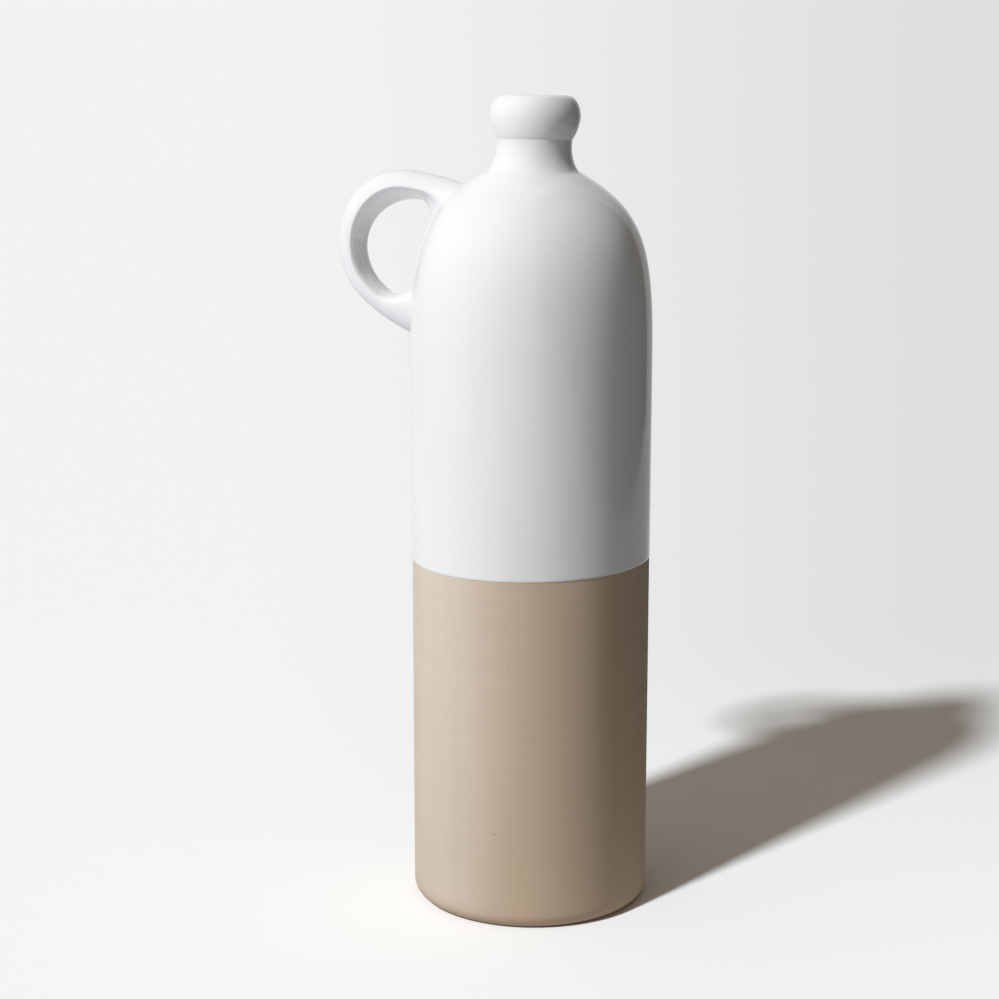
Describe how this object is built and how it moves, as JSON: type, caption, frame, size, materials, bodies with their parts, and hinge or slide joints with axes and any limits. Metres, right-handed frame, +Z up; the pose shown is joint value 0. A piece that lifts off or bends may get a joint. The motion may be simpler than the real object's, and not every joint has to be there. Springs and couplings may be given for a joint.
{
  "type": "stoneware growler",
  "caption": "Tall stoneware jug with a straight body, long shoulder, short neck with a rolled lip and a luted loop handle; white glaze above, bare buff clay below.",
  "frame": {"origin": "centre of the flat underside", "axes": "+Z up along the jug's axis, -X toward the handle, +Y across the handle's plane"},
  "size_m": [0.1425, 0.1054, 0.3544],
  "materials": {
    "clay": "bare fired buff stoneware, matte",
    "slip": "fired slip, matte",
    "white_glaze": "glossy white glaze"
  },
  "bodies": {
    "root": {"body": "clay", "neck": "clay", "neck_slip": "slip", "handle": "clay", "handle_slip_upper": "slip", "handle_slip_lower": "slip", "outer_glaze": "white_glaze", "liner_glaze": "white_glaze"}
  },
  "joints": []
}
